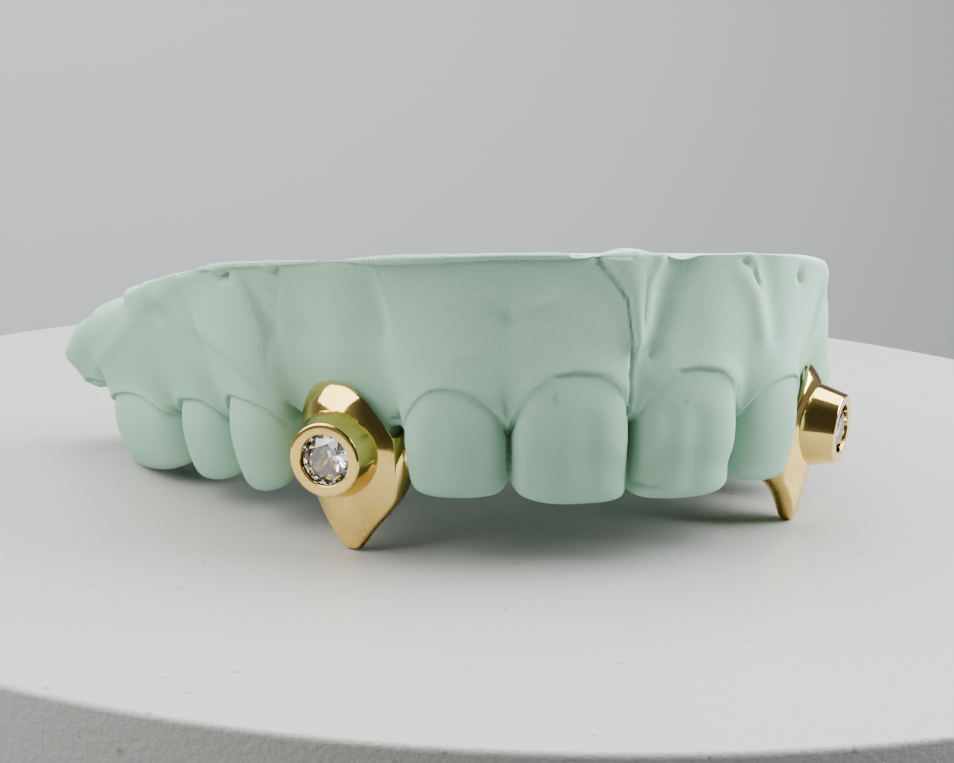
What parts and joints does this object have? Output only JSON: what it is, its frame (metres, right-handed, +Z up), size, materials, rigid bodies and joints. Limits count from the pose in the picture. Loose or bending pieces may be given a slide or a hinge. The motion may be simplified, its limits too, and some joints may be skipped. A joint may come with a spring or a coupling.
{
  "type": "grillz tooth covers on a dental cast",
  "caption": "Upper dental cast of pale green stone with polished gold fang caps on its canines, each cap carrying a bezel-set round brilliant.",
  "frame": {"origin": "bottom centre of the bounding box, on the surface that the cast stands on, below the middle of the dental arch", "axes": "+X towards the wearer's left-hand side of the arch, +Y from the front teeth to the heels, +Z up from the teeth's tips to the base of the cast"},
  "size_m": [0.0714, 0.0508, 0.0238],
  "materials": {
    "dental_stone": "matte mint-green dental stone",
    "yellow_gold": "polished pale yellow gold",
    "diamond": "clear faceted brilliant"
  },
  "bodies": {
    "root": {"stone_cast": "dental_stone", "gold_cap_right": "yellow_gold", "gold_cap_left": "yellow_gold", "diamond_right": "diamond", "diamond_left": "diamond"}
  },
  "joints": []
}
